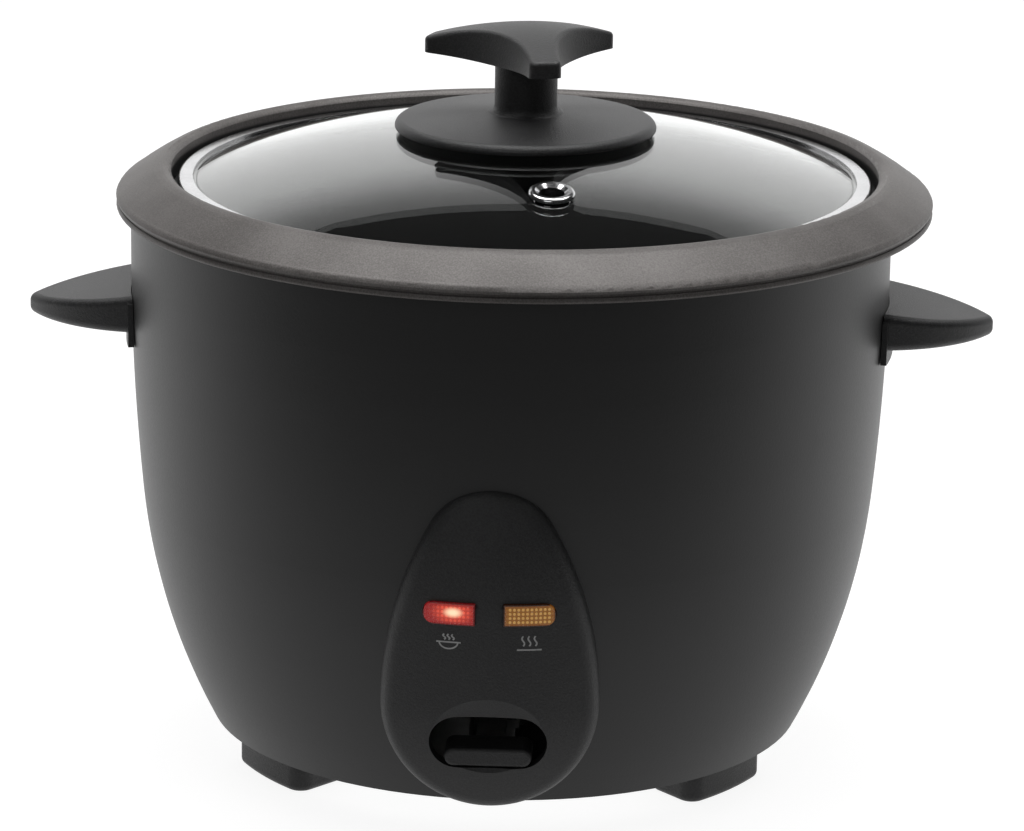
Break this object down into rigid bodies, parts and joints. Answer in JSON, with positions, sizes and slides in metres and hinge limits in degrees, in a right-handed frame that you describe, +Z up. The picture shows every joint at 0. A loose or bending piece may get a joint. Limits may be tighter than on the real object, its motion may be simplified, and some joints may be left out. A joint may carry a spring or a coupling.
{
  "type": "rice cooker",
  "caption": "Drum-shaped electric rice cooker with lift-out pot, domed glass lid with knob, side handles, cook lever, lamps, heating plate and rear power inlet.",
  "frame": {"origin": "on the floor under the axis of the housing", "axes": "+Z up, the control panel faces -Y, +X to the right seen from the front"},
  "size_m": [0.286, 0.24, 0.217],
  "materials": {
    "black_enamel": "satin",
    "black_plastic": "fine texture",
    "coated_aluminium": "satin metallic coat",
    "clear_glass": "polished",
    "bright_steel": "polished",
    "plated_steel": "zinc plated",
    "cast_aluminium": "machined",
    "element_sheath": "dull",
    "silicone": "matte",
    "red_lens": "moulded grid",
    "amber_lens": "moulded grid",
    "white_plastic": "moulded",
    "ceramic_dark": "sintered ferrite",
    "brass_contact": "plated",
    "fuse_case": "drawn"
  },
  "bodies": {
    "housing": {"base_plate": "plated_steel", "cap_spring": "bright_steel", "control_panel": "black_plastic", "cook_lamp": "clear_glass", "cook_lens": "red_lens", "cook_switch": "black_plastic", "foot_front_left": "black_plastic", "foot_front_right": "black_plastic", "foot_rear_left": "black_plastic", "foot_rear_right": "black_plastic", "foot_screws": "bright_steel", "handle_left": "black_plastic", "handle_left_screws": "bright_steel", "handle_right": "black_plastic", "handle_right_screws": "bright_steel", "heat_shield": "plated_steel", "heater_terminals": "brass_contact", "heating_element": "element_sheath", "heating_plate": "cast_aluminium", "inlet_pins": "brass_contact", "keep_warm_thermostat": "fuse_case", "lamp_holder": "white_plastic", "lever_bracket": "plated_steel", "outer_shell": "black_enamel", "pivot_pin": "bright_steel", "plate_posts": "plated_steel", "plate_screws": "bright_steel", "power_inlet": "black_plastic", "spring_cup": "plated_steel", "thermal_fuse": "fuse_case", "warm_lamp": "clear_glass", "warm_lens": "amber_lens"},
    "pot": {"inner_pot": "coated_aluminium", "pot_rim": "coated_aluminium"},
    "lid": {"lid_glass": "clear_glass", "lid_band": "bright_steel", "vent_eyelet": "bright_steel", "knob_gasket": "silicone", "knob_skirt": "black_plastic", "knob_grip": "black_plastic", "knob_washer": "bright_steel", "knob_screw": "bright_steel"},
    "lever": {"cook_lever": "plated_steel", "lever_paddle": "black_plastic"},
    "magnet": {"latch_magnet": "ceramic_dark", "magnet_rod": "plated_steel"},
    "sensor": {"sensing_cap": "cast_aluminium", "sensing_ferrite": "ceramic_dark"},
    "plunger": {"switch_plunger": "white_plastic"}
  },
  "joints": [
    {"name": "pot_lift", "type": "slide", "parent": "housing", "child": "pot", "axis": [0, 0, 1], "range_m": [0, 0.12]},
    {"name": "lid_lift", "type": "slide", "parent": "pot", "child": "lid", "axis": [0, 0, 1], "range_m": [0, 0.06]},
    {"name": "cook_lever_tilt", "type": "hinge", "parent": "housing", "child": "lever", "pos_m": [0, -0.046, 0.024], "axis": [-1, 0, 0], "range_deg": [0, 5.5]},
    {"name": "magnet_drop", "type": "slide", "parent": "housing", "child": "magnet", "axis": [0, 0, 1], "range_m": [-0.0045, 0]},
    {"name": "plunger_release", "type": "slide", "parent": "housing", "child": "plunger", "axis": [0, 0, 1], "range_m": [0, 0.0012]},
    {"name": "sensor_rise", "type": "slide", "parent": "housing", "child": "sensor", "axis": [0, 0, 1], "range_m": [0, 0.003], "deforming": ["cap_spring"]}
  ],
  "couplings": [
    {"joint": "magnet_drop", "follows": "cook_lever_tilt", "m_per_rad": -0.046},
    {"joint": "plunger_release", "follows": "cook_lever_tilt", "m_per_rad": 0.0115},
    {"joint": "sensor_rise", "follows": "pot_lift", "ratio": 0.025}
  ]
}
